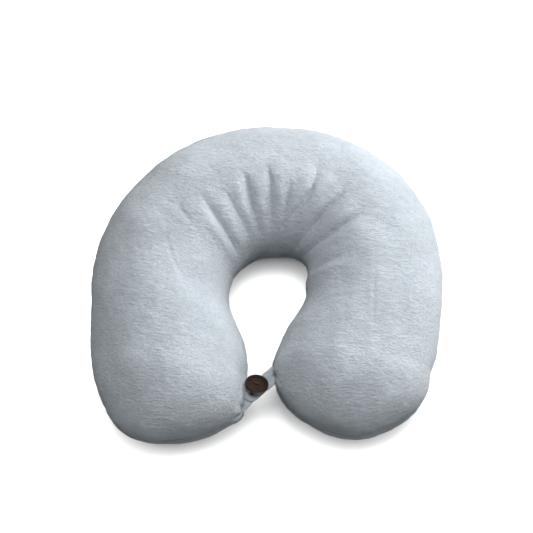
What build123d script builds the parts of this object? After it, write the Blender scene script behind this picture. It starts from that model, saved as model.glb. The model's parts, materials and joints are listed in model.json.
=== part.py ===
"""U shaped neck pillow: a zipped plush cover over a sewn bag of fibre, closed in front by a button and loop.

Frame: +Z up, the pillow lying on z = 0, its back towards +Y, the two lobes towards -Y, millimetres.
The back is half of a ring. Each arm joins it at a bending line and can swing outward about its outer skin.
The left lobe is longer and squarer than the right one, as the filling has settled.
"""

from build123d import *
import os
from math import cos, degrees, radians, sin

os.makedirs("parts", exist_ok=True)

# Overall form
ring_radius = 94.5          # middle of the tube, round the back
ring_centre_y = -2.0        # the ring's upright axis and the bending lines; centres the pillow on the origin
tube_half_width = 61.5
tube_half_height = 51.0
seam_z = 47.5               # height of the seam between the top and bottom panels

# Arms: distances of the inner and outer edge from the middle plane, at even steps from the bending line,
# then a rounded lobe whose middle leans in by corner and back out by drift
arm_step = 15.67
arms = {
    "left": {
        "side": -1,
        "inner": (33.0, 33.0, 29.5, 22.0, 15.5, 12.5, 13.0),
        "outer": (156.0, 156.0, 154.7, 152.5, 149.8, 147.0, 144.0),
        "reach": 58.0,
        "taper": 1.05,
        "corner": 5.5,
        "drift": 4.0,
    },
    "right": {
        "side": 1,
        "inner": (33.0, 34.5, 29.5, 20.5, 15.0, 11.0),
        "outer": (156.0, 155.5, 155.0, 153.5, 151.0, 147.0),
        "reach": 57.3,
        "taper": 1.25,
        "corner": 0.0,
        "drift": 0.0,
    },
}
lobe_steps = (18, 35, 50, 63, 73, 80, 85)   # degrees round a lobe's end
lobe_height_taper = 0.9
bend_gap = 0.3              # slit between the back and an arm

# Layers, from the outside in
cover_cloth = 1.6
bag_gap = 0.4               # cover to bag, everywhere but the outside of the tube
zip_room = 2.2              # extra gap on the outside of the tube, where the zip runs
bag_cloth = 0.5
fill_gap = 0.3

# Zip, in the seam round the outside of the back
zip_half_angle = 37.0       # either side of the middle of the back
slot_half_height = 5.0      # opening between the folded edges of the two panels
slot_depth = 4.0            # cut either side of the outer skin
tape_thickness = 0.5
tape_clearance = 0.2
tape_top = 11.0             # tape edges above and below the seam
teeth_inner = 153.25
teeth_outer = 154.65
teeth_near = 0.6            # from the seam plane
teeth_far = 2.2
stop_length = 3.0

slider_length = 9.0
slider_gap = 0.3            # degrees from the top stop
slider_half_height = 4.0
slider_outer_plate = (154.95, 155.75)
slider_inner_plate = (152.2, 152.8)
flange_height = 0.6
outer_flange_inner = 154.35
inner_flange_outer = 153.3
post_half_width = 0.4
post_length = 2.6
bail_half_height = 0.8
bail_half_length = 2.2
bail_wire = 0.9
bail_outer = 157.75
bail_foot = 0.3             # how deep the bail stands in the plate

pull_bar_radius = 0.4
pull_bar_r = 156.3          # radius at which the crossbar turns
pull_half_height = 2.6
pull_arm = 1.2
pull_length = 21.0
pull_thickness = 0.7
pull_window = 4.6
pull_corner = 1.1
pull_hole_inset = 3.2       # centre of the round hole, from the tag's free end

# Button, thread, tab and loop, in front between the lobes
button_radius = 10.0
button_thickness = 2.8
button_dish_radius = 7.4
button_dish_depth = 0.9
button_dish_taper = 35.0
button_round = 0.9
button_hole_radius = 1.0
button_hole_spacing = 3.8
button_lean = 24.0          # degrees back from level
button_turn = 12.0          # degrees, which way it leans
shank_radius = 1.2
shank_length = 6.8          # pivot to the underside of the button
strand_spread = 1.2         # under the button, where the strands part towards the holes
strand_lap = 0.4            # how far the strands run into what is above and below them
thread_radius = 0.6
stitch_radius = 0.75        # the wound stitch across the dish
pivot = Vector(-1.8, -105.6, 50.8)

tab_half_width = 3.8
tab_corner = 3.6
tab_thickness = 1.8
tab_bottom = 47.6
tab_end = 5.0               # past the shank
tab_heading = 58.0          # degrees from +X, from the left lobe towards the button
tab_length = 27.0

loop_bottom = 49.8
loop_thickness = 2.6
loop_half_width = 6.6
loop_slot_half_width = 2.2
loop_heading = 226.0        # degrees from +X, from the right lobe towards the button
loop_past_shank = 11.0
loop_length = 44.0
loop_clearance = 0.4

ring_axis = Axis((0, ring_centre_y, 0), (0, 0, 1))


def finish(piece, label):
    """Names a finished piece and writes it."""
    piece.part.label = label
    export_step(piece.part, f"parts/{label}.step")


def radial_plane(angle):
    """Upright plane through the ring's axis: x runs outward at this angle, y runs up."""
    outward = Vector(cos(radians(angle)), sin(radians(angle)), 0)
    return Plane(origin=(0, ring_centre_y, 0), x_dir=outward, z_dir=outward.cross(Vector(0, 0, 1)))


def ring_solid(inset, outer_inset, floor):
    """The back's half ring, shrunk by inset, and by outer_inset on its outside, standing on floor."""
    half_width = tube_half_width - (inset + outer_inset) / 2
    middle = ring_radius + (inset - outer_inset) / 2
    with BuildPart() as ring:
        with BuildSketch(radial_plane(0)):
            with Locations((middle, seam_z)):
                Ellipse(half_width, tube_half_height - inset)
        revolve(axis=ring_axis, revolution_arc=180)
        split(bisect_by=Plane.XY.offset(floor), keep=Keep.TOP)
    return ring.part


def arm_section(side, x, y, half_width, half_height):
    """One upright ellipse across an arm."""
    with BuildSketch(Plane(origin=(side * x, y, seam_z), x_dir=(side, 0, 0), z_dir=(0, -1, 0))) as section:
        Ellipse(half_width, half_height)
    return section.sketch


def arm_solid(name, inset, outer_inset, floor):
    """An arm with its rounded lobe, shrunk as ring_solid is."""
    arm = arms[name]
    shift = (outer_inset - inset) / 2
    narrower = (inset + outer_inset) / 2
    height = tube_half_height - inset
    sections = []
    y = ring_centre_y - bend_gap
    for inner, outer in zip(arm["inner"], arm["outer"]):
        middle = (inner + outer) / 2 - shift
        width = (outer - inner) / 2 - narrower
        sections.append(arm_section(arm["side"], middle, y, width, height))
        lobe_start = y
        y = ring_centre_y - len(sections) * arm_step
    for angle in lobe_steps:
        along = sin(radians(angle)) / sin(radians(lobe_steps[-1]))
        shrink = cos(radians(angle))
        lean = -4 * arm["corner"] * along * (1 - along) + arm["drift"] * along ** 2
        sections.append(arm_section(
            arm["side"],
            middle + lean,
            lobe_start - (arm["reach"] - inset) * along,
            width * shrink ** arm["taper"],
            height * shrink ** lobe_height_taper,
        ))
    with BuildPart() as solid:
        loft(sections)
        split(bisect_by=Plane.XY.offset(floor), keep=Keep.TOP)
    return solid.part


def ring_sector(angle, arc, rectangles):
    """Rectangles (near r, far r, low z, high z) turned about the ring axis, from one angle through an arc."""
    with BuildPart() as sector:
        with BuildSketch(radial_plane(angle)):
            for near, far, low, high in rectangles:
                with Locations(((near + far) / 2, (low + high) / 2)):
                    Rectangle(far - near, high - low)
        revolve(axis=ring_axis, revolution_arc=arc)
    return sector.part


# Layer surfaces, from the outside in: (inset, inset on the outside of the tube, height of the underside)
cover_outside = (0.0, 0.0, 0.0)
cover_inside = (cover_cloth, cover_cloth, cover_cloth)
bag_inset = cover_cloth + bag_gap
bag_outside = (bag_inset, bag_inset + zip_room, bag_inset)
bag_inside = tuple(value + bag_cloth for value in bag_outside)
fill_outside = tuple(value + fill_gap for value in bag_inside)

zip_start = 90 - zip_half_angle
zip_arc = 2 * zip_half_angle
outer_radius = ring_radius + tube_half_width
slot_low, slot_high = seam_z - slot_half_height, seam_z + slot_half_height
slot_box = (outer_radius - slot_depth, outer_radius + slot_depth, slot_low, slot_high)
slot_cutter = ring_sector(zip_start, zip_arc, [slot_box])

# Cover and bag: a top and a bottom panel, each cut at the bending lines
for layer, outside, inside in (("cover", cover_outside, cover_inside), ("bag", bag_outside, bag_inside)):
    for panel, keep in (("top", Keep.TOP), ("bottom", Keep.BOTTOM)):
        with BuildPart() as back_panel:
            add(ring_solid(*outside))
            add(ring_solid(*inside), mode=Mode.SUBTRACT)
            split(bisect_by=Plane.XY.offset(seam_z), keep=keep)
            if layer == "cover":
                add(slot_cutter, mode=Mode.SUBTRACT)
        finish(back_panel, f"{layer}_{panel}_back")

        for name in arms:
            with BuildPart() as arm_panel:
                add(arm_solid(name, *outside))
                add(arm_solid(name, *inside), mode=Mode.SUBTRACT)
                split(bisect_by=Plane.XY.offset(seam_z), keep=keep)
            finish(arm_panel, f"{layer}_{panel}_{name}_arm")

# Fibre filling, one mass cut at the bending lines
with BuildPart() as filling_back:
    add(ring_solid(*fill_outside))
finish(filling_back, "filling_back")

for name in arms:
    with BuildPart() as filling_arm:
        add(arm_solid(name, *fill_outside))
    finish(filling_arm, f"filling_{name}_arm")

# Zip tapes: curved strips that follow the inside of the cover
tape_outside = cover_cloth + tape_clearance
for name, low, high in (
    ("zip_tape_upper", seam_z + teeth_far, seam_z + tape_top),
    ("zip_tape_lower", seam_z - tape_top, seam_z - teeth_far),
):
    with BuildPart() as zip_tape:
        with BuildSketch(radial_plane(zip_start)):
            with Locations((ring_radius, seam_z)):
                Ellipse(tube_half_width - tape_outside, tube_half_height - tape_outside)
                inner = tape_outside + tape_thickness
                Ellipse(tube_half_width - inner, tube_half_height - inner, mode=Mode.SUBTRACT)
            with Locations((outer_radius, (low + high) / 2)):
                Rectangle(tube_half_width, high - low, mode=Mode.INTERSECT)
        revolve(axis=ring_axis, revolution_arc=zip_arc)
    finish(zip_tape, name)

# Zip teeth: one closed bar of coil on the edge of each tape, short of the stops
stop_angle = degrees(stop_length / outer_radius)
for name, low, high in (
    ("zip_teeth_upper", seam_z + teeth_near, seam_z + teeth_far),
    ("zip_teeth_lower", seam_z - teeth_far, seam_z - teeth_near),
):
    with BuildPart() as zip_teeth:
        teeth_start = zip_start + stop_angle
        add(ring_sector(teeth_start, zip_arc - 2 * stop_angle, [(teeth_inner, teeth_outer, low, high)]))
    finish(zip_teeth, name)

# Stops: a block across both rows of teeth at each end
stop = (teeth_inner, teeth_outer, seam_z - teeth_far, seam_z + teeth_far)
with BuildPart() as zip_top_stop:
    add(ring_sector(zip_start, stop_angle, [stop]))
finish(zip_top_stop, "zip_top_stop")

with BuildPart() as zip_bottom_stop:
    add(ring_sector(zip_start + zip_arc - stop_angle, stop_angle, [stop]))
finish(zip_bottom_stop, "zip_bottom_stop")

# Slider: two curved plates with turned-in flanges, a post between the rows of teeth, and a bail outside
slider_arc = degrees(slider_length / outer_radius)
slider_start = zip_start + stop_angle + slider_gap
slider_middle = slider_start + slider_arc / 2
bail_reach = degrees(bail_half_length / outer_radius)
leg_arc = degrees(bail_wire / outer_radius)
post_arc = degrees(post_length / outer_radius)
plate_low, plate_high = seam_z - slider_half_height, seam_z + slider_half_height
outer_near, outer_far = slider_outer_plate
inner_near, inner_far = slider_inner_plate
with BuildPart() as zip_slider:
    add(ring_sector(slider_start, slider_arc, [
        (outer_near, outer_far, plate_low, plate_high),
        (outer_flange_inner, outer_near, plate_low, plate_low + flange_height),
        (outer_flange_inner, outer_near, plate_high - flange_height, plate_high),
    ]))
    add(ring_sector(slider_start, slider_arc, [
        (inner_near, inner_far, plate_low, plate_high),
        (inner_far, inner_flange_outer, plate_low, plate_low + flange_height),
        (inner_far, inner_flange_outer, plate_high - flange_height, plate_high),
    ]))
    post = (inner_far, outer_near, seam_z - post_half_width, seam_z + post_half_width)
    add(ring_sector(slider_start, post_arc, [post]))
    bail_low, bail_high = seam_z - bail_half_height, seam_z + bail_half_height
    for start in (slider_middle - bail_reach, slider_middle + bail_reach - leg_arc):
        add(ring_sector(start, leg_arc, [(outer_far - bail_foot, bail_outer, bail_low, bail_high)]))
    bridge = (bail_outer - bail_wire, bail_outer, bail_low, bail_high)
    add(ring_sector(slider_middle - bail_reach, 2 * bail_reach, [bridge]))
finish(zip_slider, "zip_slider")

# Pull: a flat tag with a window; its crossbar turns under the bail
pull_plane = radial_plane(slider_middle)
outward = pull_plane.x_dir
pull_origin = Vector(0, ring_centre_y, seam_z) + outward * pull_bar_r
tag_plane = Plane(origin=pull_origin, x_dir=-pull_plane.z_dir, z_dir=outward)
with BuildPart() as zip_pull:
    with BuildSketch(tag_plane.offset(-pull_thickness / 2)):
        with Locations((pull_length / 2, 0)):
            RectangleRounded(pull_length, 2 * pull_half_height, pull_corner)
        with Locations((pull_window / 2, 0)):
            Rectangle(pull_window, 2 * (pull_half_height - pull_arm), mode=Mode.SUBTRACT)
        with Locations((pull_length - pull_hole_inset, 0)):
            Circle(pull_arm, mode=Mode.SUBTRACT)
    extrude(amount=pull_thickness)
    with BuildSketch(Plane(origin=pull_origin, x_dir=outward, z_dir=(0, 0, 1)).offset(-pull_half_height)):
        Circle(pull_bar_radius)
    extrude(amount=2 * pull_half_height)
finish(zip_pull, "zip_pull")

# Button: a dished disc with a rim and two holes, leaning back on its thread shank
lean_axis = Vector(cos(radians(button_turn)), -sin(radians(button_turn)), 0)
level = Vector(sin(radians(button_turn)), cos(radians(button_turn)), 0)
button_normal = Vector(0, 0, 1) * cos(radians(button_lean)) + level * sin(radians(button_lean))
button_plane = Plane(origin=pivot, x_dir=lean_axis, z_dir=button_normal)
hole_places = ((-button_hole_spacing / 2, 0), (button_hole_spacing / 2, 0))
with BuildPart() as button:
    with BuildSketch(button_plane.offset(shank_length)):
        Circle(button_radius)
    extrude(amount=button_thickness)
    fillet(button.edges(), button_round)
    with BuildSketch(button_plane.offset(shank_length + button_thickness)) as dish:
        Circle(button_dish_radius)
    extrude(dish.sketch, amount=-button_dish_depth, taper=button_dish_taper, mode=Mode.SUBTRACT)
    with BuildSketch(button_plane.offset(shank_length)) as holes:
        with Locations(*hole_places):
            Circle(button_hole_radius)
    extrude(holes.sketch, amount=button_thickness, mode=Mode.SUBTRACT)
finish(button, "button")

# Thread: the wound shank with a rounded foot, two strands up through the holes and one across the dish
dish_height = shank_length + button_thickness - button_dish_depth
shank_top = shank_length - strand_spread
shank_side = Plane(origin=pivot, x_dir=lean_axis, z_dir=lean_axis.cross(button_normal))
with BuildPart() as button_thread:
    with BuildSketch(shank_side):
        Circle(shank_radius)
        with Locations((0, shank_top / 2)):
            Rectangle(2 * shank_radius, shank_top)
        with Locations((shank_length / 2, 0)):
            Rectangle(shank_length, 3 * shank_length, mode=Mode.INTERSECT)
    revolve(axis=Axis(pivot, button_normal))
    with BuildSketch(button_plane.offset(shank_top - strand_lap / 4)):
        SlotCenterToCenter(button_hole_spacing, 2 * stitch_radius)
    extrude(amount=strand_spread - strand_lap / 4)
    with BuildSketch(button_plane.offset(shank_length - strand_lap)):
        with Locations(*hole_places):
            Circle(thread_radius)
    extrude(amount=dish_height - shank_length + 2 * strand_lap)
    with BuildSketch(button_plane.offset(dish_height + strand_lap / 2)):
        SlotCenterToCenter(button_hole_spacing, 2 * stitch_radius)
    extrude(amount=thread_radius)
finish(button_thread, "button_thread")


def strip_plane(heading, height):
    """Level plane under the shank: x runs along the strip at this heading."""
    direction = Vector(cos(radians(heading)), sin(radians(heading)), 0)
    return Plane(origin=(pivot.X, pivot.Y, height), x_dir=direction, z_dir=(0, 0, 1))


# Tab: a stitched strip from the left lobe's seam to under the shank
with BuildPart() as button_tab:
    with BuildSketch(strip_plane(tab_heading, tab_bottom)):
        with Locations((tab_end - tab_length / 2, 0)):
            RectangleRounded(tab_length, 2 * tab_half_width, tab_corner)
    extrude(amount=tab_thickness)
    add(arm_solid("left", *cover_outside), mode=Mode.SUBTRACT)
finish(button_tab, "button_tab")

# Loop: a strip doubled back on itself, from the right lobe's seam round the shank
with BuildPart() as closure_loop:
    with BuildSketch(strip_plane(loop_heading, loop_bottom)):
        with Locations((loop_past_shank - loop_length / 2, 0)):
            SlotOverall(loop_length, 2 * loop_half_width)
            slot_length = loop_length - 2 * (loop_half_width - loop_slot_half_width)
            SlotOverall(slot_length, 2 * loop_slot_half_width, mode=Mode.SUBTRACT)
    extrude(amount=loop_thickness)
    add(arm_solid("right", -loop_clearance, -loop_clearance, 0), mode=Mode.SUBTRACT)
finish(closure_loop, "closure_loop")
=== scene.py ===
"""Looks of the U shaped neck pillow: cover, bag, filling, zip, button, tab and loop, round the CAD frame."""
import bmesh
import bpy
import json
import math
import numpy as np
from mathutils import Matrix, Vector


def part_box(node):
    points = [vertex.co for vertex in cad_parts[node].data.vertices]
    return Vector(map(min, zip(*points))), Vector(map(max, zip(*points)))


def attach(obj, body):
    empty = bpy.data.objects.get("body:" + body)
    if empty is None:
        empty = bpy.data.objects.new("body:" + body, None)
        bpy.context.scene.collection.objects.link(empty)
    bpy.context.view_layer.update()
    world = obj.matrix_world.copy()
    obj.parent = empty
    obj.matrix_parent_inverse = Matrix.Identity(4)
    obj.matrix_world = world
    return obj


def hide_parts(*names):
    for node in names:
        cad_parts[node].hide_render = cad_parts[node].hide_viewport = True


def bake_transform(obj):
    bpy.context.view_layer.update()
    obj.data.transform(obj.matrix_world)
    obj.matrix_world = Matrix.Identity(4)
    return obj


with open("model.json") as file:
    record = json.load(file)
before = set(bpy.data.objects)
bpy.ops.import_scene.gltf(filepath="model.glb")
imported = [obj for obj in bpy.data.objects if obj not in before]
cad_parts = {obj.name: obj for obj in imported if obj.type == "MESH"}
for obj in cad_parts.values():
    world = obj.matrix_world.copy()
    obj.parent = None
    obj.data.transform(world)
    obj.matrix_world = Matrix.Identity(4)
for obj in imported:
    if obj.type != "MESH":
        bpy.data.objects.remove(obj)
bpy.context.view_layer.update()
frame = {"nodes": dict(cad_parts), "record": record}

# ---------------------------------------------------------------- sizes, in metres, worked out from the frame
MM = 0.001
BACK_LOW, BACK_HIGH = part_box("cover_bottom_back")
RING_RADIUS_OUT = BACK_HIGH.x                     # outer skin of the back
SEAM_Z = BACK_HIGH.z
RING_Y = BACK_LOW.y                               # the bending lines, and the ring's centre
HALF_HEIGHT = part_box("cover_top_back")[1].z - SEAM_Z
FLOOR_SOFT = 1.2 * MM                             # how softly the underside meets the floor
ARM_STEP = 15.67 * MM                             # spacing of the arm outline's stations
HALF_ROUND = 177 * MM                             # half the way round a section, from seam to seam

CLOTH = 1.6 * MM                                  # plush, with its pile
BAG_INSET = 2.1 * MM
BAG_CLOTH = 0.5 * MM
FILL_INSET = 2.9 * MM
FLOOR_GAP = 0.2 * MM                              # the skin stays this far off the floor

ZIP_HALF = math.radians(37)                       # the zip, either side of the middle of the back
ZIP_FADE = math.radians(5)
SLOT_HALF = 5 * MM
ZIP_ROOM = 2.2 * MM
TEETH_RADIUS = 154 * MM
TEETH_HALF_ANGLE = ZIP_HALF - 3.6 / 156

FINE = 1.3 * MM       # spacing of the plush mesh
RATIO = 3                                         # how much coarser the hidden side of a panel is
LINING_SPACING = 2.4 * FINE
MERGE = 0.002 * MM                                # points closer than this become one

# Outline of each arm in plan: inner and outer edge in mm at stations one ARM_STEP apart, then a rounded end
ARMS = {
    "left": {
        "sign": -1,
        "inner": (31.5, 33.0, 29.5, 22.0, 15.5, 11.5, 10.0),
        "outer": (156.5, 156.0, 154.7, 152.5, 149.8, 147.0, 144.0),
        "reach": 60.0 * MM,
        "taper": 0.92,
        "corner": 5.0 * MM,
        "drift": 4.0 * MM,
    },
    "right": {
        "sign": 1,
        "inner": (34.5, 35.0, 29.5, 20.5, 15.0, 11.0),
        "outer": (155.5, 155.5, 155.0, 153.5, 151.0, 147.0),
        "reach": 59.0 * MM,
        "taper": 1.15,
        "corner": 0.0,
        "drift": 0.0,
    },
}

# Folds of the closed back: (ring angle, radius) in degrees and mm at start, middle and end of each,
# then its depth and width in mm, and the share of its strength that it loses towards the opening
FOLDS = (
    (((138, 92), (142, 58), (148, 34)), 4.6, 3.6, 0.1),
    (((108, 98), (109, 62), (104, 36)), 4.4, 3.2, 0.6),
    (((95, 101), (92, 66), (90, 38)), 4.2, 3.6, 0.7),
    (((70, 108), (65, 76), (76, 42)), 4.2, 3.0, 0.6),
    (((80, 82), (78, 60), (82, 40)), 2.2, 2.6, 0.7),
    (((49, 103), (47, 70), (52, 38)), 5.2, 3.6, 0.5),
    (((36, 104), (31, 70), (38, 38)), 4.6, 3.2, 0.4),
    (((12, 78), (9, 56), (8, 42)), 2.4, 3.4, 0.2),
    (((148, 100), (154, 84), (158, 70)), 1.6, 3.0, 0.6),
    (((124, 84), (124, 60), (122, 38)), 1.6, 2.8, 0.6),
    (((21, 98), (-13, 94), (-37, 116)), 0.6, 1.4, 0.3),
    (((-37, 54), (-24, 70), (-16, 95)), 0.6, 1.4, 0.3),
    (((162, 96), (182, 82), (208, 72)), 0.6, 1.6, 0.3),
)

FOLD_SCALE = 0.7                                  # share of each depth above that the skin takes
INNER_SEAM_DROP = math.radians(15)                # the opening's seam lies lower than the outer one
BUTTON_PIVOT = np.array([-1.8, -105.6, 50.8]) * MM  # where the shank stands on the tab
LOOP_HEADING = math.radians(226)                  # from the right lobe towards the button
TAB_HEADING = math.radians(58)                    # from the left lobe towards the button
LOOP_WAY = np.array([math.cos(LOOP_HEADING), math.sin(LOOP_HEADING), 0])
TAB_WAY = np.array([math.cos(TAB_HEADING), math.sin(TAB_HEADING), 0])
LOOP_ROOT = BUTTON_PIVOT - 18.5 * MM * LOOP_WAY
TAB_ROOT = BUTTON_PIVOT - 20 * MM * TAB_WAY
LOOP_Z = 51.1 * MM                                # middle of the strip's thickness
TAB_Z = 48.4 * MM
LOOP_TURN = 4.4                                   # radius of the loop's turn round the shank, in mm
LOOP_REACH = 4.5                                  # where that turn starts, past the shank, in mm
LOBE_CORNER = np.array([-16, -128, 46]) * MM      # gathered corner of the left lobe
BUTTON_NEST = BUTTON_PIVOT + np.array([-12, 0, 10]) * MM  # hollow that the button presses into the lobe

SIM_SPACING = 4.5 * MM
SIM_AROUND = 84
SIM_FRAMES = 20
SIM_CAP = 5 * MM


# ---------------------------------------------------------------- numbers and noise
def smooth(t):
    t = np.clip(t, 0, 1)
    return t * t * (3 - 2 * t)


def gauss(t):
    return np.exp(-np.square(t))


def through(a, b, c, d, f):
    """Point at fraction f between b and c on the smooth curve through a, b, c and d."""
    return b + 0.5 * f * (c - a + f * (2 * a - 5 * b + 4 * c - d + f * (3 * (b - c) + d - a)))


def spline(values, t):
    """Smooth curve through evenly spaced rows of values; t runs from 0 to len(values) - 1."""
    v = np.asarray(values, float)
    v = np.concatenate([2 * v[:1] - v[1:2], v, 2 * v[-1:] - v[-2:-1]])
    i = np.clip(np.floor(t).astype(int), 0, len(v) - 4)
    f = (t - i).reshape((-1,) + (1,) * (v.ndim - 1))
    return through(v[i], v[i + 1], v[i + 2], v[i + 3], f)


def noise(points, size, seed=0):
    """Smooth lattice noise from -1 to 1, with features about `size` across."""
    p = np.asarray(points, float) / size + seed * 17.37
    cell = np.floor(p).astype(np.int64)
    f = p - cell
    w = f * f * f * (f * (f * 6 - 15) + 10)
    total = np.zeros(p.shape[:-1])
    for dx in (0, 1):
        for dy in (0, 1):
            for dz in (0, 1):
                c = cell + np.array([dx, dy, dz])
                h = (c[..., 0] * 73856093) ^ (c[..., 1] * 19349663) ^ (c[..., 2] * 83492791)
                h = h ^ (seed * 2654435)
                h = (h * 1103515245 + 12345) & 0x7FFFFFFF
                h = (h ^ (h >> 13)) * 1274126177 & 0x7FFFFFFF
                a = h / 0x7FFFFFFF * 2 * np.pi
                b = (h >> 7 & 0xFFFF) / 0xFFFF * 2 - 1
                r = np.sqrt(1 - b * b)
                d = f - np.array([dx, dy, dz])
                g = d[..., 0] * r * np.cos(a) + d[..., 1] * r * np.sin(a) + d[..., 2] * b
                wx = w[..., 0] if dx else 1 - w[..., 0]
                wy = w[..., 1] if dy else 1 - w[..., 1]
                wz = w[..., 2] if dz else 1 - w[..., 2]
                total += g * wx * wy * wz
    return total * 1.6


# ---------------------------------------------------------------- the pillow's form
def ring_edges(angle):
    """Inner and outer radius of the back at an angle from +X; the filling sits a little to the right."""
    swing = np.sin(2 * angle)
    outer = RING_RADIUS_OUT - 0.5 * MM * np.cos(angle) + 3.8 * MM * swing + 2.2 * MM * swing ** 2
    inner = 33 * MM + 1.5 * MM * np.cos(angle) + 5.25 * MM * swing - 0.75 * MM * swing ** 2
    # the gathered cloth bunches up in the middle of the back
    return inner - 5.5 * MM * np.maximum(np.sin(angle + 0.14), 0) ** 8, outer


def steps_for(length, spacing):
    """A count of equal steps of about `spacing` that RATIO divides."""
    return max(1, round(length / spacing / RATIO)) * RATIO


def half_rows(side, spacing):
    """Cross-sections from the middle of the back to the tip.

    Columns: centre x, y; outward way x, y; half width; half height; ring angle; and the place along,
    which is 0 to 1 on the back, 1 to 2 on the arm and 2 to 3 on the lobe.
    """
    arm = ARMS[side]
    sign = arm["sign"]
    count = steps_for(0.8 * RING_RADIUS_OUT * np.pi / 2, spacing)
    place = np.arange(count) / count
    angle = np.pi / 2 - sign * place * np.pi / 2
    inner, outer = ring_edges(angle)
    middle = (inner + outer) / 2
    table = [np.stack([np.cos(angle) * middle, RING_Y + np.sin(angle) * middle, np.cos(angle), np.sin(angle),
                       (outer - inner) / 2, np.full(count, HALF_HEIGHT), angle, place], -1)]
    last_angle = 0 if sign > 0 else np.pi

    steps = len(arm["inner"]) - 1
    length = steps * ARM_STEP
    count = steps_for(length, spacing)
    place = np.arange(count) / count
    inner, outer = spline(arm["inner"], place * steps) * MM, spline(arm["outer"], place * steps) * MM
    ones = np.ones(count)
    table.append(np.stack([sign * (inner + outer) / 2, RING_Y - place * length, sign * ones, 0 * ones,
                           (outer - inner) / 2, HALF_HEIGHT * ones, last_angle * ones, 1 + place], -1))

    inner, outer = arm["inner"][-1] * MM, arm["outer"][-1] * MM
    count = steps_for(1.45 * arm["reach"], spacing)
    place = np.arange(count + 1) / count
    turn = place * np.pi / 2
    r = np.sin(turn)
    shrink = np.maximum(np.cos(turn), 0)
    x = (inner + outer) / 2 - 4 * arm["corner"] * r * (1 - r) + arm["drift"] * r * r
    ones = np.ones(count + 1)
    table.append(np.stack([sign * x, RING_Y - length - arm["reach"] * r, sign * ones, 0 * ones,
                           (outer - inner) / 2 * shrink ** arm["taper"], HALF_HEIGHT * shrink ** 0.9,
                           last_angle * ones, 2 + place], -1))
    return np.concatenate(table)


def all_rows(spacing):
    """Cross-sections from the left tip round the back to the right tip, and the back's middle row."""
    left, right = half_rows("left", spacing), half_rows("right", spacing)
    left[:, 7] *= -1
    return np.concatenate([left[::-1], right[1:]]), len(left) - 1


def zip_mask(rows):
    """1 along the zip, fading to 0 past its ends."""
    return smooth((ZIP_HALF + ZIP_FADE - np.abs(rows[:, 6] - np.pi / 2)) / ZIP_FADE)


def shape(rows, turns, inset=0.0, room=0.0):
    """Points on the form at angles `turns`, rows by columns, round each section: 0 outer seam, pi inner seam.

    `inset` shrinks the section, and `room` draws its outer side in beside the zip.
    """
    end = np.sin(np.clip(np.abs(rows[:, 7]) - 2, 0, 1) * np.pi / 2)
    centre = rows[:, None, 0:2] + np.stack([0 * end, inset * end], -1)[:, None]
    way = rows[:, None, 2:4]
    width = np.maximum(rows[:, 4] - inset, 0)[:, None]
    height = np.maximum(rows[:, 5] - inset, 0)[:, None]
    across = np.cos(turns) * width
    # beside the zip the skin keeps to the circle that the slider runs on
    radius = np.hypot(centre[..., 0], centre[..., 1] - RING_Y) + width + inset
    near = smooth((np.cos(turns) - 0.94) / 0.052) * zip_mask(rows)[:, None]
    across = across + (RING_RADIUS_OUT - radius) * near
    across = across - room * smooth(np.cos(turns) / 0.6) * zip_mask(rows)[:, None]
    plan = centre + way * across[..., None]
    z = SEAM_Z + np.sin(turns) * height
    z = FLOOR_SOFT * np.logaddexp(0, (z - inset) / FLOOR_SOFT) + inset
    return np.concatenate([plan, z[..., None]], -1)


def normals(points):
    """Outward unit normals of the whole form's grid of points."""
    along = np.gradient(points, axis=0)
    around = np.gradient(points, axis=1)
    n = np.cross(around, along)
    size = np.linalg.norm(n, axis=-1, keepdims=True)
    n = n / np.maximum(size, 1e-12)
    for tip, inner in ((0, 2), (1, 2), (-1, -3), (-2, -3)):
        n[tip] = n[inner]
    n[0] = n[-1] = (0, -1, 0)
    return n


def arc_length(points, axis):
    step = np.linalg.norm(np.diff(points, axis=axis), axis=-1)
    pad = [(0, 0), (0, 0)]
    pad[axis] = (1, 0)
    return np.pad(np.cumsum(step, axis), pad)


def wrapped_faces(n, m, far_cap=True):
    """Faces of n rings of m points, with a cap on the first ring and, with far_cap, on the last."""
    faces = []
    for i in range(n - 1):
        for j in range(m):
            k = (j + 1) % m
            faces.append((i * m + j, i * m + k, (i + 1) * m + k, (i + 1) * m + j))
    faces.append(list(range(m))[::-1])
    if far_cap:
        faces.append([(n - 1) * m + j for j in range(m)])
    return faces


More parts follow.
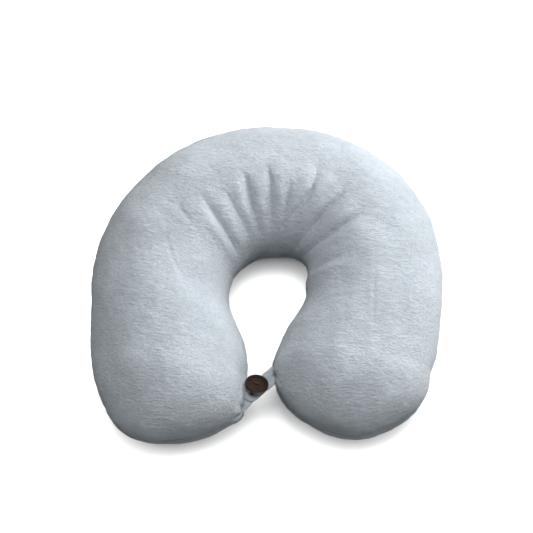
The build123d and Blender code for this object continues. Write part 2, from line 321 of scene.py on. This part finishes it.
def fold_relief(points):
    """Depth of the folds at each point: a crease with a soft ridge on both sides."""
    relief = np.zeros(points.shape[:-1])
    reach = np.hypot(points[..., 0], points[..., 1] - RING_Y)
    for (start, middle, end), depth, width, fade in FOLDS:
        line = []
        for angle, radius in (start, middle, end):
            a = math.radians(angle)
            line.append(np.array((radius * MM * math.cos(a), RING_Y + radius * MM * math.sin(a))))
        t = np.linspace(0, 1, 25)[:, None]
        p0, p1, p2 = line
        path = (1 - t) * (1 - 2 * t) * p0 + 4 * t * (1 - t) * p1 - t * (1 - 2 * t) * p2
        best = np.full(relief.shape, 1.0)
        where = np.zeros(relief.shape)
        for k in range(len(path) - 1):
            a, b = path[k], path[k + 1]
            ab = b - a
            s = np.clip(((points[..., :2] - a) @ ab) / (ab @ ab), 0, 1)
            distance = np.linalg.norm(points[..., :2] - (a + s[..., None] * ab), axis=-1)
            closer = distance < best
            best = np.where(closer, distance, best)
            where = np.where(closer, (k + s) / (len(path) - 1), where)
        w = width * MM * (0.8 + 0.5 * (1 - where))
        strength = depth * MM * smooth(where / 0.45) * (1 - fade * smooth((where - 0.55) / 0.4))
        # past the inner end the fold runs on down the wall of the opening
        wall = smooth((reach - start[1] * 0.2 * MM) / (10 * MM))
        crease = 0.55 * gauss(best / w) + 0.45 * np.exp(-best / (0.5 * w))
        relief += strength * wall * (0.35 * gauss((best - 2.2 * w) / (1.3 * w)) - crease)
    level = smooth((points[..., 2] - SEAM_Z + 2 * MM) / (14 * MM))
    return relief * level


# ---------------------------------------------------------------- cloth simulation of the closed back
def simulate():
    """Displacement of a coarse skin that the filling's pressure swells between the folds, and its rows."""
    rows, _ = all_rows(SIM_SPACING)
    rows = rows[1:-1]
    turns = np.broadcast_to(np.arange(SIM_AROUND) / SIM_AROUND * 2 * np.pi, (len(rows), SIM_AROUND))
    base = shape(rows, turns)
    n = normals(base)
    start = base + n * (FOLD_SCALE * fold_relief(base))[..., None]
    mesh = bpy.data.meshes.new("simulated")
    mesh.from_pydata(start.reshape(-1, 3).tolist(), [], wrapped_faces(*base.shape[:2]))
    obj = bpy.data.objects.new("simulated", mesh)
    bpy.context.scene.collection.objects.link(obj)

    reach = np.hypot(base[..., 0], base[..., 1] - RING_Y)
    held = smooth((reach - 84 * MM) / (24 * MM))
    ends = smooth((np.abs(np.degrees(rows[:, 6]) - 90) - 74) / 15)
    held = np.maximum(held, ends[:, None])
    held = np.maximum(held, smooth((SEAM_Z * 0.3 - base[..., 2]) / (8 * MM)))
    group = obj.vertex_groups.new(name="held")
    for index, weight in enumerate(held.ravel()):
        group.add([index], float(weight), "REPLACE")

    cloth = obj.modifiers.new("cloth", "CLOTH")
    settings = cloth.settings
    settings.quality = 6
    settings.mass = 0.3
    settings.tension_stiffness = settings.compression_stiffness = 15
    settings.shear_stiffness = 6
    settings.bending_stiffness = 0.5
    settings.air_damping = 2
    settings.use_pressure = True
    settings.uniform_pressure_force = 260
    settings.vertex_group_mass = "held"
    settings.pin_stiffness = 1.0
    settings.effector_weights.gravity = 0
    cloth.collision_settings.use_collision = False
    scene = bpy.context.scene
    for frame_number in range(1, SIM_FRAMES + 1):
        scene.frame_set(frame_number)
    done = obj.evaluated_get(bpy.context.evaluated_depsgraph_get()).to_mesh()
    result = np.zeros(len(done.vertices) * 3)
    done.vertices.foreach_get("co", result)
    result = result.reshape(base.shape)
    bpy.data.objects.remove(obj)
    scene.frame_set(1)
    move = result - start
    size = np.linalg.norm(move, axis=-1, keepdims=True)
    largest, mean = round(float(size.max()) / MM, 2), round(float(size.mean()) / MM, 3)
    print("simulated: largest move", largest, "mm, mean", mean)
    return move * np.minimum(1, SIM_CAP / np.maximum(size, 1e-9)), rows


def swelling(rows, turns):
    """The simulated displacement, read at other rows and angles."""
    if SIMULATED is None:
        return np.zeros(turns.shape + (3,))
    move, sim_rows = SIMULATED
    at = np.interp(rows[:, 7], sim_rows[:, 7], np.arange(len(sim_rows)))
    move = spline(move, at)
    t = turns / (2 * np.pi) * SIM_AROUND
    first = np.floor(t).astype(int)
    f = (t - first)[..., None]
    near = (np.take_along_axis(move, ((first + k) % SIM_AROUND)[..., None], 1) for k in (-1, 0, 1, 2))
    return through(*near, f)


# ---------------------------------------------------------------- the whole form, with its relief
def gathers(points):
    """The skin drawn in round the roots of the loop and the tab, and the gathered corner of the left lobe."""
    total = np.zeros(points.shape[:-1])
    for root, phase, depth, size in ((LOOP_ROOT, 0.6, 2.8, 7), (TAB_ROOT, 2.0, 2.4, 6)):
        away = points - root
        distance = np.linalg.norm(away, axis=-1)
        spokes = np.cos(5 * np.arctan2(away[..., 2], away[..., 1]) + phase)
        total -= depth * MM * gauss(distance / (size * MM))
        total += 1.1 * MM * spokes * gauss(distance / (14 * MM)) * smooth(distance / (5 * MM))
    corner = np.linalg.norm((points - LOBE_CORNER) / (1, 1, 1.6), axis=-1)
    total += 4.5 * MM * gauss(corner / (9 * MM))
    # the button presses a hollow into the lobe beside it
    nest = np.linalg.norm((points - BUTTON_NEST) / (1, 1.6, 1), axis=-1)
    # the seam of the right lobe is pulled into a crease that runs back and up from the loop
    reach = np.clip((points - LOOP_ROOT) @ (0.8, 0.44, 0.4), 0, 22 * MM)
    crease = LOOP_ROOT + np.array([1, 0.55, 0.5]) * reach[..., None]
    away = np.linalg.norm(points - crease, axis=-1)
    run = np.clip((points[..., 0] - LOOP_ROOT[0]) / (22 * MM), 0, 1)
    total -= 2.2 * MM * gauss(away / (3.2 * MM)) * (1 - run) * (points[..., 0] > 0)
    return total - 3.2 * MM * gauss(nest / (10 * MM))


def relief(base):
    """How far the plush stands off the plain form, in metres."""
    around, onward = arc_length(base, 1), arc_length(base, 0)
    columns = base.shape[1]
    half = columns // 2                           # the column on the inner seam
    total = around[:, -1:]
    seam_inner = np.abs(around - around[:, half][:, None])
    seam = np.minimum(np.minimum(around, total - around), seam_inner)
    run = np.where(seam_inner < total / 4, onward[:, half][:, None], onward[:, :1] + 1.0)
    level = np.where(np.arange(columns) > half, -0.05, 0.05) * np.ones(base.shape[:2])
    strip = np.stack([run, level, seam * 0.4], -1)
    lumps = 1.3 * MM * noise(base, 45 * MM, 3) + 0.6 * MM * noise(base, 22 * MM, 5)
    lumps = lumps + 0.25 * MM * noise(base, 11 * MM, 8)
    groove = -1.3 * MM * gauss(seam / (1.8 * MM)) - 0.7 * MM * gauss(seam / (6 * MM))
    pucker = 1.0 * MM * noise(strip, 11 * MM, 11) + 0.5 * MM * noise(strip, 6 * MM, 12)
    pucker = pucker * np.exp(-seam / (8 * MM))
    pile = 0.16 * MM * noise(base * (1, 1.6, 1.6), 3.6 * MM, 21) + 0.10 * MM * noise(base, 7 * MM, 22)
    return lumps + groove + pucker + pile + gathers(base) + FOLD_SCALE * fold_relief(base)


# ---------------------------------------------------------------- meshes
def link(name, mesh, material):
    mesh.materials.append(material)
    obj = bpy.data.objects.new(name, mesh)
    bpy.context.scene.collection.objects.link(obj)
    return obj


def grid_faces(n, m, first=0):
    i, j = np.meshgrid(np.arange(n - 1), np.arange(m - 1), indexing="ij")
    a = (first + i * m + j).ravel()
    return np.stack([a, a + 1, a + m + 1, a + m], -1)


def clean(mesh, merge=False, outward=False):
    """Merges points that coincide, and turns the faces of a closed mesh outward."""
    work = bmesh.new()
    work.from_mesh(mesh)
    if merge:
        bmesh.ops.remove_doubles(work, verts=work.verts, dist=MERGE)
    if outward:
        bmesh.ops.recalc_face_normals(work, faces=work.faces)
    work.to_mesh(mesh)
    work.free()


def panel_mesh(name, outer, outer_normals, inner, flip):
    """A closed shell: a fine outer skin, an inner skin RATIO times coarser, and rims that join them."""
    n, m = outer.shape[:2]
    coarse = inner[::RATIO, ::RATIO]
    cn, cm = coarse.shape[:2]
    points = np.concatenate([outer.reshape(-1, 3), coarse.reshape(-1, 3)])
    faces = grid_faces(n, m).tolist()
    faces += grid_faces(cn, cm, n * m)[:, ::-1].tolist()

    def fine(i, j):
        return i * m + j

    def hidden(i, j):
        return n * m + i * cm + j

    for i in range(cn - 1):
        for j, cj, turn in ((0, 0, 1), (m - 1, cm - 1, -1)):
            edge = [fine(i * RATIO + k, j) for k in range(RATIO + 1)]
            faces.append((edge + [hidden(i + 1, cj), hidden(i, cj)])[::turn])
    for j in range(cm - 1):
        for i, ci, turn in ((0, 0, -1), (n - 1, cn - 1, 1)):
            edge = [fine(i, j * RATIO + k) for k in range(RATIO + 1)]
            faces.append((edge + [hidden(ci, j + 1), hidden(ci, j)])[::turn])
    if flip:
        faces = [face[::-1] for face in faces]
    mesh = bpy.data.meshes.new(name)
    mesh.from_pydata(points.tolist(), [], faces)
    store = mesh.attributes.new("smooth_normal", "FLOAT_VECTOR", "POINT")
    given = np.zeros((len(points), 3))
    given[:n * m] = outer_normals.reshape(-1, 3)
    store.data.foreach_set("vector", given.ravel())

    clean(mesh, merge=True)
    mesh.shade_smooth()

    given = np.zeros(len(mesh.vertices) * 3)
    mesh.attributes["smooth_normal"].data.foreach_get("vector", given)
    given = given.reshape(-1, 3)
    own = np.zeros(len(mesh.vertices) * 3)
    mesh.vertices.foreach_get("normal", own)
    own = own.reshape(-1, 3)
    known = np.linalg.norm(given, axis=1) > 0.5
    mesh.attributes.remove(mesh.attributes["smooth_normal"])
    mesh.normals_split_custom_set_from_vertices(np.where(known[:, None], given, own).tolist())
    return mesh


def solid_mesh(name, points):
    """A closed solid from rings of points, capped in the middle of the back and drawn together at the tip."""
    mesh = bpy.data.meshes.new(name)
    faces = wrapped_faces(*points.shape[:2], far_cap=False)
    mesh.from_pydata(points.reshape(-1, 3).tolist(), [], faces)
    clean(mesh, merge=True, outward=True)
    mesh.shade_smooth()
    return mesh


# ---------------------------------------------------------------- materials
def new_material(name):
    material = bpy.data.materials.new(name)
    material.use_nodes = True
    tree = material.node_tree
    return material, tree.nodes, tree.links, tree.nodes["Principled BSDF"]


def place(nodes, links, scale=(1, 1, 1), turn=(0, 0, 0)):
    """Object coordinates, scaled and turned."""
    where = nodes.new("ShaderNodeTexCoord")
    mapping = nodes.new("ShaderNodeMapping")
    mapping.inputs["Scale"].default_value = scale
    mapping.inputs["Rotation"].default_value = turn
    links.new(where.outputs["Object"], mapping.inputs["Vector"])
    return mapping.outputs["Vector"]


def noise_node(nodes, links, vector, scale, detail=2.0, rough=0.5, distortion=0.0):
    node = nodes.new("ShaderNodeTexNoise")
    node.inputs["Scale"].default_value = scale
    node.inputs["Detail"].default_value = detail
    node.inputs["Roughness"].default_value = rough
    node.inputs["Distortion"].default_value = distortion
    links.new(vector, node.inputs["Vector"])
    return node.outputs["Fac"]


def ramp(nodes, links, value, stops):
    node = nodes.new("ShaderNodeValToRGB")
    elements = node.color_ramp.elements
    while len(elements) < len(stops):
        elements.new(0.5)
    for element, (position, colour) in zip(elements, stops):
        element.position = position
        element.color = (*colour, 1)
    links.new(value, node.inputs["Fac"])
    return node.outputs["Color"]


def blend_value(nodes, links, a, b, factor):
    """Mixes two numbers; each may be a socket or a plain number."""
    node = nodes.new("ShaderNodeMix")
    for socket, value in (("A", a), ("B", b), ("Factor", factor)):
        if isinstance(value, (int, float)):
            node.inputs[socket].default_value = value
        else:
            links.new(value, node.inputs[socket])
    return node.outputs["Result"]


def tint(nodes, links, a, b, factor, mode):
    """Mixes two colours in a blend mode."""
    node = nodes.new("ShaderNodeMix")
    node.data_type = "RGBA"
    node.blend_type = mode
    node.inputs["Factor"].default_value = factor
    links.new(a, node.inputs[6])
    links.new(b, node.inputs[7])
    return node.outputs[2]


def bump(nodes, links, shader, height, distance, strength=1.0):
    node = nodes.new("ShaderNodeBump")
    node.inputs["Distance"].default_value = distance
    node.inputs["Strength"].default_value = strength
    links.new(height, node.inputs["Height"])
    links.new(node.outputs["Normal"], shader.inputs["Normal"])


def plush_material():
    """Short blue-grey pile: soft mottling, fine streaks where it lies over, and a sheen."""
    material, nodes, links, shader = new_material("plush")
    plain = place(nodes, links)
    streak = place(nodes, links, scale=(1.0, 2.6, 2.6), turn=(0, 0, 0.35))
    patches = noise_node(nodes, links, plain, 22, 3, 0.55)
    colour = ramp(nodes, links, patches, ((0.3, (0.445, 0.484, 0.516)), (0.7, (0.545, 0.588, 0.625))))
    mottle = noise_node(nodes, links, streak, 110, 3, 0.6, 0.6)
    mottled = ramp(nodes, links, mottle, ((0.3, (0.72, 0.745, 0.77)), (0.72, (1.0, 1.0, 1.0))))
    fibre = noise_node(nodes, links, streak, 240, 4, 0.7, 0.8)
    fibres = ramp(nodes, links, fibre, ((0.3, (0.60, 0.63, 0.66)), (0.68, (1.0, 1.0, 1.0))))
    colour = tint(nodes, links, colour, mottled, 0.5, "MULTIPLY")
    colour = tint(nodes, links, colour, fibres, 0.55, "MULTIPLY")
    links.new(colour, shader.inputs["Base Color"])
    shader.inputs["Roughness"].default_value = 0.92
    shader.inputs["Specular IOR Level"].default_value = 0.15
    shader.inputs["Sheen Weight"].default_value = 0.28
    shader.inputs["Sheen Roughness"].default_value = 0.45
    shader.inputs["Sheen Tint"].default_value = (0.94, 0.97, 1.0, 1)
    height = blend_value(nodes, links, mottle, fibre, 0.6)
    bump(nodes, links, shader, height, 2.4 * MM, 1.0)
    return material


def woven_material(name, dark, light, threads, rough=0.8):
    """Plain woven cloth: two crossed sets of threads, with slubs."""
    material, nodes, links, shader = new_material(name)
    where = place(nodes, links)
    waves = []
    for direction in ("X", "Z"):
        wave = nodes.new("ShaderNodeTexWave")
        wave.wave_type = "BANDS"
        wave.bands_direction = direction
        wave.inputs["Scale"].default_value = threads
        wave.inputs["Distortion"].default_value = 0.6
        links.new(where, wave.inputs["Vector"])
        waves.append(wave.outputs["Fac"])
    slub = noise_node(nodes, links, where, 300, 3)
    weave = blend_value(nodes, links, waves[0], waves[1], slub)
    links.new(ramp(nodes, links, weave, ((0.1, dark), (0.9, light))), shader.inputs["Base Color"])
    shader.inputs["Roughness"].default_value = rough
    shader.inputs["Sheen Weight"].default_value = 0.2
    bump(nodes, links, shader, weave, 0.25 * MM, 0.7)
    return material


def fibre_material():
    """Carded polyester fibre: white, matted, full of fine strands."""
    material, nodes, links, shader = new_material("fibre")
    strand = noise_node(nodes, links, place(nodes, links, scale=(1, 4, 4)), 260, 5, 0.7, 2.0)
    clump = noise_node(nodes, links, place(nodes, links), 55, 4, 0.6)
    both = blend_value(nodes, links, strand, clump, 0.45)
    colour = ramp(nodes, links, both, ((0.3, (0.70, 0.71, 0.70)), (0.65, (0.90, 0.90, 0.88))))
    links.new(colour, shader.inputs["Base Color"])
    shader.inputs["Roughness"].default_value = 0.95
    shader.inputs["Sheen Weight"].default_value = 0.3
    bump(nodes, links, shader, both, 1.5 * MM, 0.9)
    return material


def coil_material():
    """Nylon zip coil: satin, with faint colour drift."""
    material, nodes, links, shader = new_material("zip_coil")
    drift = noise_node(nodes, links, place(nodes, links), 500, 3)
    colour = ramp(nodes, links, drift, ((0.3, (0.24, 0.29, 0.34)), (0.7, (0.33, 0.39, 0.44))))
    links.new(colour, shader.inputs["Base Color"])
    links.new(ramp(nodes, links, drift, ((0.3, (0.38,) * 3), (0.7, (0.52,) * 3))), shader.inputs["Roughness"])
    bump(nodes, links, shader, drift, 0.05 * MM, 0.4)
    return material


def enamel_material():
    """Painted zip metal, the paint rubbed through to the zinc in small spots."""
    material, nodes, links, shader = new_material("zip_enamel")
    scuff = noise_node(nodes, links, place(nodes, links), 900, 4, 0.6)
    worn = ramp(nodes, links, noise_node(nodes, links, place(nodes, links), 420, 4, 0.7),
                ((0.62, (0, 0, 0)), (0.70, (1, 1, 1))))
    paint = ramp(nodes, links, scuff, ((0.3, (0.17, 0.20, 0.235)), (0.7, (0.21, 0.245, 0.28))))
    node = nodes.new("ShaderNodeMix")
    node.data_type = "RGBA"
    links.new(worn, node.inputs["Factor"])
    links.new(paint, node.inputs[6])
    node.inputs[7].default_value = (0.42, 0.43, 0.43, 1)
    links.new(node.outputs[2], shader.inputs["Base Color"])
    links.new(worn, shader.inputs["Metallic"])
    links.new(ramp(nodes, links, scuff, ((0.3, (0.26,) * 3), (0.7, (0.42,) * 3))), shader.inputs["Roughness"])
    shader.inputs["Coat Weight"].default_value = 0.2
    shader.inputs["Coat Roughness"].default_value = 0.3
    bump(nodes, links, shader, scuff, 0.03 * MM, 0.5)
    return material


def thread_material():
    """Dark waxed thread with a twist."""
    material, nodes, links, shader = new_material("thread")
    twist = nodes.new("ShaderNodeTexWave")
    twist.inputs["Scale"].default_value = 700
    twist.inputs["Distortion"].default_value = 1.0
    links.new(place(nodes, links, turn=(0.6, 0.4, 0.7)), twist.inputs["Vector"])
    browns = (0.2, (0.006, 0.004, 0.003)), (0.8, (0.03, 0.02, 0.015))
    links.new(ramp(nodes, links, twist.outputs["Fac"], browns), shader.inputs["Base Color"])
    shader.inputs["Roughness"].default_value = 0.6
    bump(nodes, links, shader, twist.outputs["Fac"], 0.15 * MM, 0.8)
    return material


def wood_material():
    """Dark polished wood: close wavering grain under a thin lacquer."""
    material, nodes, links, shader = new_material("button_wood")
    where = place(nodes, links, turn=(0.2, 0.25, 0.5))
    grain = nodes.new("ShaderNodeTexWave")
    grain.inputs["Scale"].default_value = 330
    grain.inputs["Distortion"].default_value = 5.0
    grain.inputs["Detail"].default_value = 3.0
    grain.inputs["Detail Scale"].default_value = 1.6
    links.new(where, grain.inputs["Vector"])
    pores = noise_node(nodes, links, place(nodes, links, scale=(1, 5, 1)), 1100, 3, 0.6)
    browns = (0.1, (0.008, 0.004, 0.003)), (0.6, (0.020, 0.010, 0.006)), (0.95, (0.055, 0.027, 0.014))
    tone = ramp(nodes, links, grain.outputs["Fac"], browns)
    dark = ramp(nodes, links, pores, ((0.35, (0.45, 0.42, 0.40)), (0.55, (1, 1, 1))))
    links.new(tint(nodes, links, tone, dark, 0.8, "MULTIPLY"), shader.inputs["Base Color"])
    links.new(ramp(nodes, links, pores, ((0.3, (0.50,) * 3), (0.7, (0.34,) * 3))), shader.inputs["Roughness"])
    shader.inputs["Specular IOR Level"].default_value = 0.12
    shader.inputs["Coat Weight"].default_value = 0.04
    shader.inputs["Coat Roughness"].default_value = 0.25
    bump(nodes, links, shader, grain.outputs["Fac"], 0.10 * MM, 0.5)
    return material


MATERIALS = {
    "plush": plush_material(),
    "lining": woven_material("lining", (0.52, 0.55, 0.57), (0.80, 0.82, 0.83), 450),
    "fibre": fibre_material(),
    "zip_tape": woven_material("zip_tape", (0.22, 0.27, 0.31), (0.40, 0.46, 0.51), 520),
    "zip_coil": coil_material(),
    "zip_metal": enamel_material(),
    "thread": thread_material(),
    "button_wood": wood_material(),
}


def bend(piece):
    """Bakes the piece's placement into its points."""
    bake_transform(piece)


def turn_grid(rows, level, count, slot):
    """Angles round each section for the top (level 1) or bottom (-1) panel.

    `slot` is how far the panel's outer edge stands back from the seam along the zip.
    """
    past = ZIP_HALF + math.radians(2) - np.abs(rows[:, 6] - np.pi / 2)
    start = (smooth(past / math.radians(2.6)) * (slot / HALF_HEIGHT))[:, None]
    end = np.pi + level * INNER_SEAM_DROP * smooth((2.6 - np.abs(rows[:, 7])) / 1.6)[:, None]
    t = np.linspace(0, 1, count + 1)[None]
    return level * (start + (end - start) * t)


def displacement(rows, turns):
    """How every layer is moved off the plain form: relief along the normal, and the simulated swelling."""
    base = shape(rows, turns)
    return normals(base) * relief(base)[..., None] + swelling(rows, turns)


def sink(rows, turns, span):
    """Takes an inner layer down to the lowest part of a fold within `span` steps, so that it stays inside."""
    base = shape(rows, turns)
    fold = FOLD_SCALE * fold_relief(base)
    low = fold
    for axis in (0, 1):
        low = np.minimum.reduce([np.roll(low, k, axis) for k in range(-span, span + 1)])
    return normals(base) * (low - fold)[..., None]


def whole_turns(rows, count, slot):
    """Angles all round each section, the top panel then the bottom one; they meet on the inner seam."""
    upper = turn_grid(rows, 1, count, slot)
    lower = turn_grid(rows, -1, count, slot) + 2 * np.pi
    return np.concatenate([upper, lower[:, -2::-1]], 1)


def halves(middle):
    """The rows of each side, from the middle of the back to its tip."""
    return {"left": slice(middle, None, -1), "right": slice(middle, None)}


def soft_piece(name, mesh, slot, side, *replaced):
    piece = link(name, mesh, MATERIALS[slot])
    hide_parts(*replaced)
    bend(piece)


def make_panels(kind, slot, side, along, count, skin, lit, inside):
    """The top and bottom panel of one side, from the grid of the whole form."""
    for level, across in (("top", slice(0, count + 1)), ("bottom", slice(None, count - 1, -1))):
        part = (along, across)
        flip = (side == "right") == (level == "bottom")
        name = f"{kind}_{level}_{side}"
        mesh = panel_mesh(name, skin[part], lit[part], inside[part], flip)
        soft_piece(name, mesh, slot, side, f"{name}_arm", f"{kind}_{level}_back")


def make_covers():
    rows, middle = all_rows(FINE)
    count = steps_for(HALF_ROUND, FINE)
    turns = whole_turns(rows, count, SLOT_HALF)
    move = displacement(rows, turns)
    skin = shape(rows, turns) + move
    skin[..., 2] = np.maximum(skin[..., 2], FLOOR_GAP)
    lit = normals(skin)
    inside = shape(rows, turns, CLOTH) + move + sink(rows, turns, RATIO)
    inside[..., 2] = np.maximum(inside[..., 2], CLOTH)
    for side, along in halves(middle).items():
        make_panels("cover", "plush", side, along, count, skin, lit, inside)


def make_linings():
    """The inner bag's two panels and the filling, which take the cover's folds."""
    rows, middle = all_rows(LINING_SPACING)
    count = steps_for(HALF_ROUND, LINING_SPACING)
    turns = whole_turns(rows, count, 0)
    move = displacement(rows, turns) + sink(rows, turns, 1)
    skin = shape(rows, turns, BAG_INSET, ZIP_ROOM) + move
    skin[..., 2] = np.maximum(skin[..., 2], BAG_INSET)
    lit = normals(skin)
    inside = shape(rows, turns, BAG_INSET + BAG_CLOTH, ZIP_ROOM) + move
    inside[..., 2] = np.maximum(inside[..., 2], BAG_INSET + BAG_CLOTH)
    lump = 0.5 * MM * (noise(skin, 12 * MM, 31) - 1)
    mass = shape(rows, turns, FILL_INSET, ZIP_ROOM) + move + lit * lump[..., None]
    mass[..., 2] = np.maximum(mass[..., 2], FILL_INSET)
    for side, along in halves(middle).items():
        make_panels("bag", "lining", side, along, count, skin, lit, inside)
        name = f"filling_{side}"
        mesh = solid_mesh(name, mass[along, :-1])
        soft_piece(name, mesh, "fibre", side, f"{name}_arm", "filling_back")


# ---------------------------------------------------------------- zip coil, tab and loop
def tube(name, path, across, up, wide, thick, sides, material, flat=2.0):
    """A closed tube along a path: its section is wide along `across` and thick along `up`."""
    turn = np.arange(sides) / sides * 2 * np.pi
    power = 2 / flat
    c = np.sign(np.cos(turn)) * np.abs(np.cos(turn)) ** power
    u = np.sign(np.sin(turn)) * np.abs(np.sin(turn)) ** power
    wide, thick = (np.broadcast_to(v, len(path))[:, None, None] / 2 for v in (wide, thick))
    points = path[:, None] + across[:, None] * wide * c[None, :, None]
    points = points + up[:, None] * thick * u[None, :, None]
    mesh = bpy.data.meshes.new(name)
    mesh.from_pydata(points.reshape(-1, 3).tolist(), [], wrapped_faces(len(path), sides))
    clean(mesh, outward=True)
    mesh.shade_smooth()
    return link(name, mesh, material)


def directions(path):
    step = np.gradient(path, axis=0)
    return step / np.linalg.norm(step, axis=1, keepdims=True)


def make_coils():
    """Each row of teeth is a nylon wire wound into a flat coil; the two coils mesh half a pitch apart."""
    pitch, wire, per_turn = 1.3 * MM, 0.54 * MM, 10
    loops = int(2 * TEETH_HALF_ANGLE * TEETH_RADIUS / pitch)
    t = np.linspace(0, loops, loops * per_turn + 1)
    for name, level, shift in (("upper", 1, 0.0), ("lower", -1, 0.5)):
        angle = np.pi / 2 + TEETH_HALF_ANGLE * (2 * (t + shift) / (loops + 0.5) - 1)
        radius = TEETH_RADIUS - 0.05 * MM + 0.42 * MM * np.cos(2 * np.pi * t)
        height = SEAM_Z + level * (1.15 * MM + 1.2 * MM * np.sin(2 * np.pi * t))
        path = np.stack([radius * np.cos(angle), RING_Y + radius * np.sin(angle), height], -1)
        along = directions(path)
        sideways = np.stack([-np.sin(angle), np.cos(angle), 0 * angle], -1)
        across = np.cross(along, np.cross(sideways, along))
        across /= np.linalg.norm(across, axis=1, keepdims=True)
        up = np.cross(along, across)
        piece = tube(f"zip_coil_{name}", path, across, up, wire, wire, 6, MATERIALS["zip_coil"])
        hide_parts(f"zip_teeth_{name}")
        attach(piece, "back")


def make_strips():
    """The loop, a padded strip doubled back round the shank, and the tab, a short creased strip under it."""
    side = np.array([-LOOP_WAY[1], LOOP_WAY[0], 0])
    leg = np.linspace(-28, LOOP_REACH, 40)
    spread = LOOP_TURN - 0.95 * smooth((-leg - 2) / 6)
    bend_turn = np.linspace(-np.pi / 2, np.pi / 2, 22)[1:-1]
    s = np.concatenate([leg, LOOP_REACH + LOOP_TURN * np.cos(bend_turn), leg[::-1]])
    offset = np.concatenate([-spread, LOOP_TURN * np.sin(bend_turn), spread[::-1]])
    path = BUTTON_PIVOT + (s[:, None] * LOOP_WAY + offset[:, None] * side) * MM
    path[:, 2] = LOOP_Z + 0.3 * MM * noise(path, 9 * MM, 41)
    along = directions(path)
    up = np.tile([0.0, 0.0, 1.0], (len(path), 1))
    wide = (5.2 + 1.9 * smooth((-s - 3) / 7) + 0.5 * noise(path, 6 * MM, 42)) * MM
    piece = tube("fabric_loop", path, np.cross(along, up), up, wide, 2.5 * MM, 24, MATERIALS["plush"], 2.6)
    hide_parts("closure_loop")
    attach(piece, "closure_loop")

    side = np.array([-TAB_WAY[1], TAB_WAY[0], 0])
    s = np.linspace(-27, 5.5, 60)
    path = BUTTON_PIVOT + s[:, None] * TAB_WAY * MM
    path[:, 2] = TAB_Z + 0.45 * MM * np.sin(s / 2.6) * smooth((-s - 4) / 6)
    wide = 8.4 * MM - 1.6 * MM * smooth((-s - 8) / 8) * (1 + 0.5 * np.sin(s / 1.9))
    wide = wide * np.sqrt(np.clip((5.9 - s) / 3.2, 0.05, 1))
    up = np.tile([0.0, 0.0, 1.0], (len(path), 1))
    side = np.tile(side, (len(path), 1))
    piece = tube("button_tab_strip", path, side, up, wide, 1.8 * MM, 24, MATERIALS["plush"], 2.8)
    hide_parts("button_tab")
    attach(piece, "left_arm")


SIMULATED = simulate()
make_covers()
make_linings()
make_coils()
make_strips()
for node, obj in frame["nodes"].items():
    for entry in frame["record"]["subparts"]:
        if entry["node"] == node:
            obj.data.materials.clear()
            obj.data.materials.append(MATERIALS[entry["material_slot"]])


# ---------------------------------------------------------------- camera, light, floor
CAMERA_ELEVATION = math.radians(66)
CAMERA_AZIMUTH = math.radians(4.5)                # from straight in front of the lobes
CAMERA_DISTANCE = 0.922
CAMERA_TARGET = Vector((0, RING_Y - 9.15 * MM, 50 * MM))
LIGHT_TARGET = Vector((0, 0, 0.05))


def camera():
    azimuth, flat = CAMERA_AZIMUTH, math.cos(CAMERA_ELEVATION)
    back = Vector((math.sin(azimuth) * flat, -math.cos(azimuth) * flat, math.sin(CAMERA_ELEVATION)))
    data = bpy.data.cameras.new("camera")
    data.lens = 70
    data.sensor_width = 36
    obj = bpy.data.objects.new("camera", data)
    obj.location = CAMERA_TARGET + back * CAMERA_DISTANCE
    obj.rotation_euler = back.to_track_quat("Z", "Y").to_euler()
    data.shift_y = 0.044
    bpy.context.scene.collection.objects.link(obj)
    bpy.context.scene.camera = obj


def collection_of(name, objects):
    collection = bpy.data.collections.new(name)
    for obj in objects:
        collection.objects.link(obj)
    return collection


def area_light(name, azimuth, elevation, distance, size, energy, receivers=None, depth=None):
    """A round or oval soft light, seen from the pillow at an azimuth from +X and an elevation, in degrees."""
    data = bpy.data.lights.new(name, "AREA")
    data.shape = "ELLIPSE"
    data.size = size
    data.size_y = depth or size
    data.energy = energy
    obj = bpy.data.objects.new(name, data)
    azimuth, elevation = math.radians(azimuth), math.radians(elevation)
    flat = math.cos(elevation)
    way = Vector((math.cos(azimuth) * flat, math.sin(azimuth) * flat, math.sin(elevation)))
    obj.location = LIGHT_TARGET + way * distance
    obj.rotation_euler = way.to_track_quat("Z", "Y").to_euler()
    bpy.context.scene.collection.objects.link(obj)
    if receivers:
        obj.light_linking.receiver_collection = receivers


def studio():
    world = bpy.data.worlds.new("world")
    world.use_nodes = True
    world.node_tree.nodes["Background"].inputs["Color"].default_value = (1, 1, 1, 1)
    world.node_tree.nodes["Background"].inputs["Strength"].default_value = 0.15
    bpy.context.scene.world = world
    bpy.context.scene.view_settings.view_transform = "Standard"
    material, nodes, links, shader = new_material("floor")
    grain = noise_node(nodes, links, place(nodes, links), 40)
    colour = ramp(nodes, links, grain, ((0.3, (0.92,) * 3), (0.7, (0.93,) * 3)))
    links.new(colour, shader.inputs["Base Color"])
    shader.inputs["Roughness"].default_value = 0.9
    mesh = bpy.data.meshes.new("floor")
    mesh.from_pydata([(-4, -4, 0), (4, -4, 0), (4, 4, 0), (-4, 4, 0)], [], [(0, 1, 2, 3)])
    floor = link("floor", mesh, material)
    floor.visible_diffuse = False
    pillow = [obj for obj in bpy.context.scene.objects if obj.type == "MESH" and obj != floor]
    area_light("overhead", 60, 84, 1.6, 0.8, 20)
    area_light("floor_wash", 270, 86, 1.3, 2.8, 48, collection_of("floor_only", [floor]), 1.2)
    pillow = collection_of("pillow_only", pillow)
    area_light("key", 47, 21, 1.5, 1.1, 36, pillow)
    area_light("bounce", 318, 10, 1.4, 1.2, 4, pillow)


camera()
studio()
